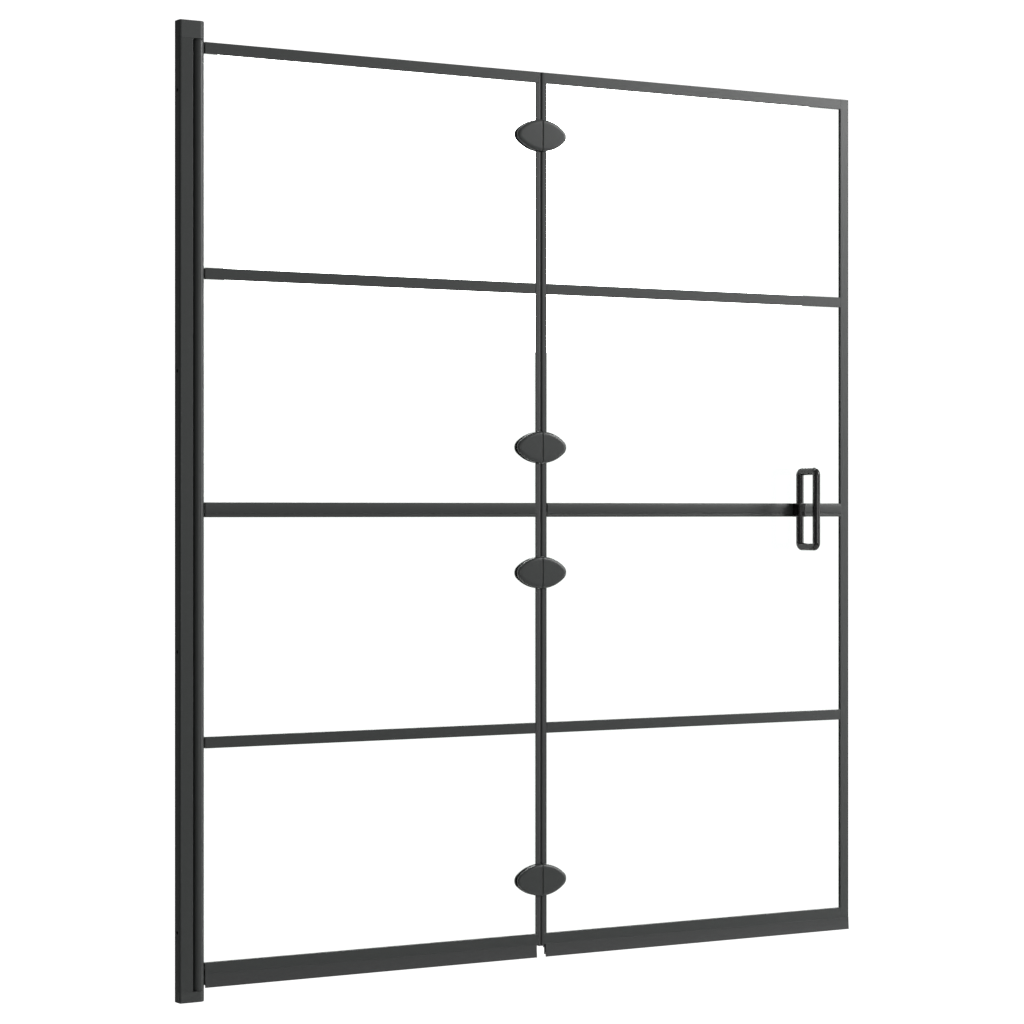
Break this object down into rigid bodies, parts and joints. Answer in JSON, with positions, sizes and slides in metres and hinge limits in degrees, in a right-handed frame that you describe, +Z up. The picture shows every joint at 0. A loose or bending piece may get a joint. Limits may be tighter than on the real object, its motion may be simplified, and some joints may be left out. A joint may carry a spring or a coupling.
{
  "type": "folding shower screen",
  "caption": "Folding shower screen: a clear leaf with black glazing bars swings on a wall profile, and a second leaf with a loop handle folds on eye-shaped hinges.",
  "frame": {"origin": "on the wall, at the centre of the row of four wall screws, which is the middle of the wall profile's height", "axes": "+X runs out from the wall along the flat panes, +Y goes through the panes away from the handle side, +Z is up"},
  "size_m": [1.2, 0.0769, 1.4],
  "materials": {
    "black_powder_coat": "semi-matt black powder coat on aluminium",
    "black_satin_lacquer": "satin black on brass",
    "clear_glass": "clear tempered glass",
    "black_rubber": "smooth black seal rubber",
    "black_plastic": "matt black moulded plastic",
    "stainless_steel": "plain stainless steel"
  },
  "bodies": {
    "wall_profile": {"wall_rail": "black_powder_coat", "wall_channel": "black_powder_coat", "channel_strip": "black_rubber", "head_block": "black_plastic", "foot_block": "black_plastic", "head_cap": "black_plastic", "foot_cap": "black_plastic", "head_bush": "black_plastic", "foot_bush": "black_plastic", "adjusting_screws": "stainless_steel", "screw_caps": "black_plastic", "block_screws": "stainless_steel"},
    "inner_leaf": {"pivot_post": "black_powder_coat", "head_pivot_plug": "black_plastic", "foot_pivot_plug": "black_plastic", "post_gasket": "black_rubber", "hinge_pins": "stainless_steel", "inner_glass": "clear_glass", "inner_top_rail": "black_powder_coat", "inner_upper_bar": "black_powder_coat", "inner_middle_bar": "black_powder_coat", "inner_lower_bar": "black_powder_coat", "inner_upper_back_bar": "black_powder_coat", "inner_middle_back_bar": "black_powder_coat", "inner_lower_back_bar": "black_powder_coat", "inner_drip_rail": "black_powder_coat", "inner_drip_seal": "black_rubber", "inner_seam_seals": "black_rubber", "inner_hinge_faces": "black_powder_coat", "inner_hinge_pads": "black_rubber", "inner_hinge_screws": "stainless_steel", "hinge_1_inner_leaf": "black_powder_coat", "hinge_2_inner_leaf": "black_powder_coat", "hinge_3_inner_leaf": "black_powder_coat", "hinge_4_inner_leaf": "black_powder_coat"},
    "outer_leaf": {"edge_rail": "black_powder_coat", "handle_loop": "black_satin_lacquer", "handle_saddle": "black_satin_lacquer", "handle_grub_screw": "stainless_steel", "handle_pads": "black_rubber", "handle_rosette": "black_satin_lacquer", "handle_bolt": "stainless_steel", "outer_glass": "clear_glass", "outer_top_rail": "black_powder_coat", "outer_upper_bar": "black_powder_coat", "outer_middle_bar": "black_powder_coat", "outer_lower_bar": "black_powder_coat", "outer_upper_back_bar": "black_powder_coat", "outer_middle_back_bar": "black_powder_coat", "outer_lower_back_bar": "black_powder_coat", "outer_drip_rail": "black_powder_coat", "outer_drip_seal": "black_rubber", "outer_seam_seals": "black_rubber", "outer_hinge_faces": "black_powder_coat", "outer_hinge_pads": "black_rubber", "outer_hinge_screws": "stainless_steel", "hinge_1_outer_leaf": "black_powder_coat", "hinge_2_outer_leaf": "black_powder_coat", "hinge_3_outer_leaf": "black_powder_coat", "hinge_4_outer_leaf": "black_powder_coat"}
  },
  "joints": [
    {"name": "leaf_swing", "type": "hinge", "parent": "wall_profile", "child": "inner_leaf", "pos_m": [0.032, 0, 0], "axis": [0, 0, -1], "range_deg": [-90, 85]},
    {"name": "leaf_fold", "type": "hinge", "parent": "inner_leaf", "child": "outer_leaf", "pos_m": [0.6087, 0.0078, 0], "axis": [0, 0, 1], "range_deg": [0, 175]}
  ]
}
